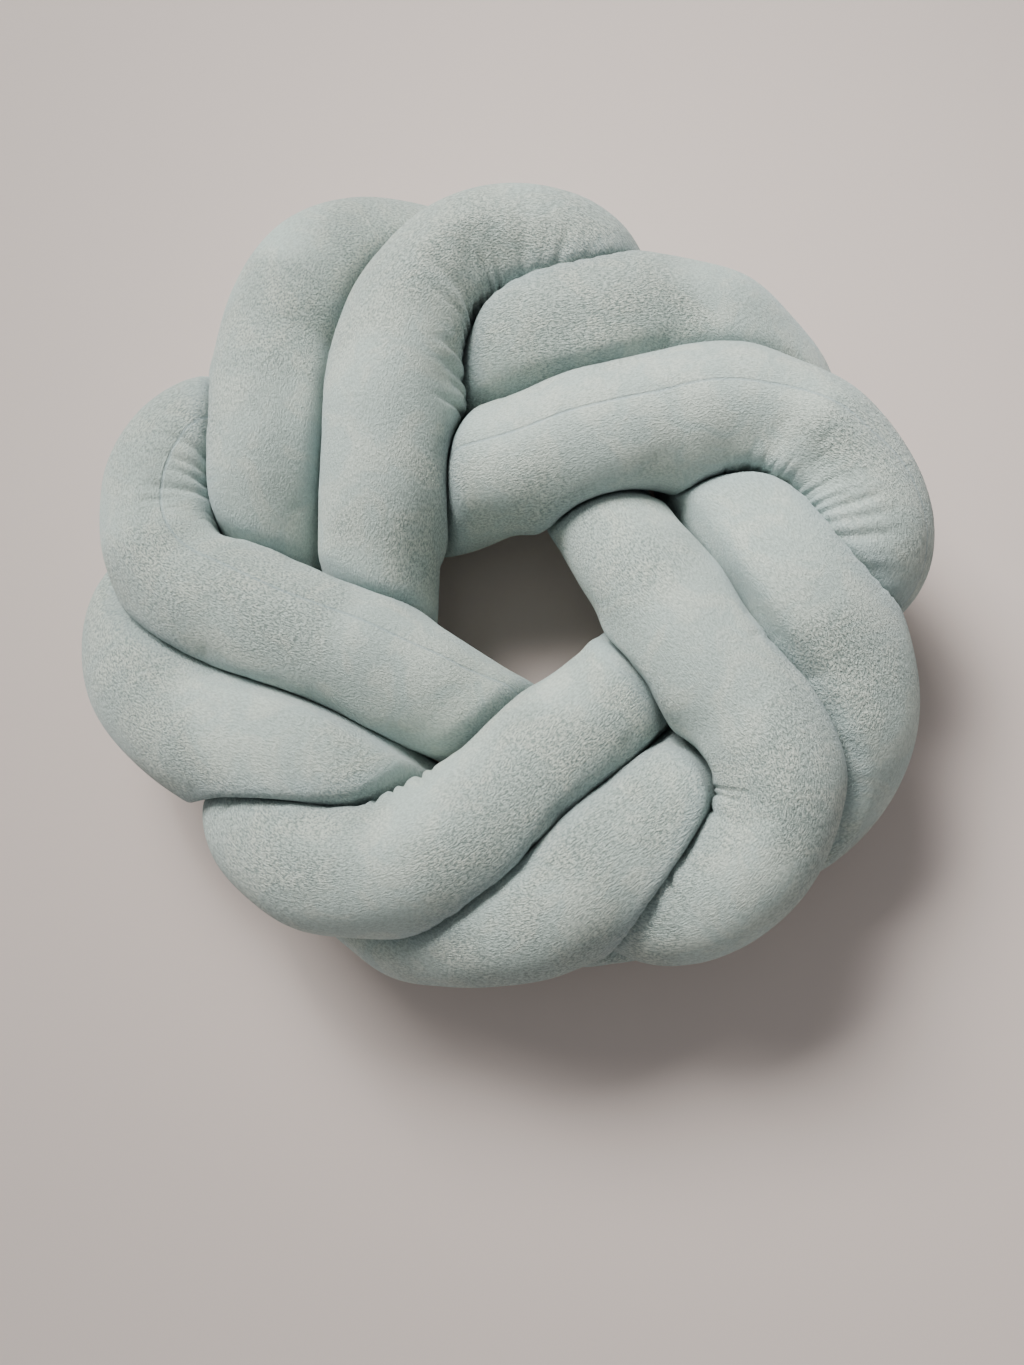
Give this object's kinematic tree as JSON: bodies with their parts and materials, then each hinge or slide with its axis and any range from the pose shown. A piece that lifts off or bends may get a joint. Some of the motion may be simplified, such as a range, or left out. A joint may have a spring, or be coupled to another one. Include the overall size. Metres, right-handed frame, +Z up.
{
  "type": "knot cushion",
  "caption": "Soft plush cushion of two stuffed tubes, tied side by side in a flat ring of lobes that cross over and under round an open middle.",
  "frame": {"origin": "middle of the bounding box's bottom, on the floor beneath the cushion", "axes": "+Z up, from the back that lies on the floor to the face; +X to the picture's right; +Y to the picture's top"},
  "size_m": [0.4222, 0.4198, 0.1195],
  "materials": {
    "plush": "short-pile plush, matt, dusty aqua"
  },
  "bodies": {
    "root": {"leading_tube": "plush", "trailing_tube": "plush"}
  },
  "joints": []
}
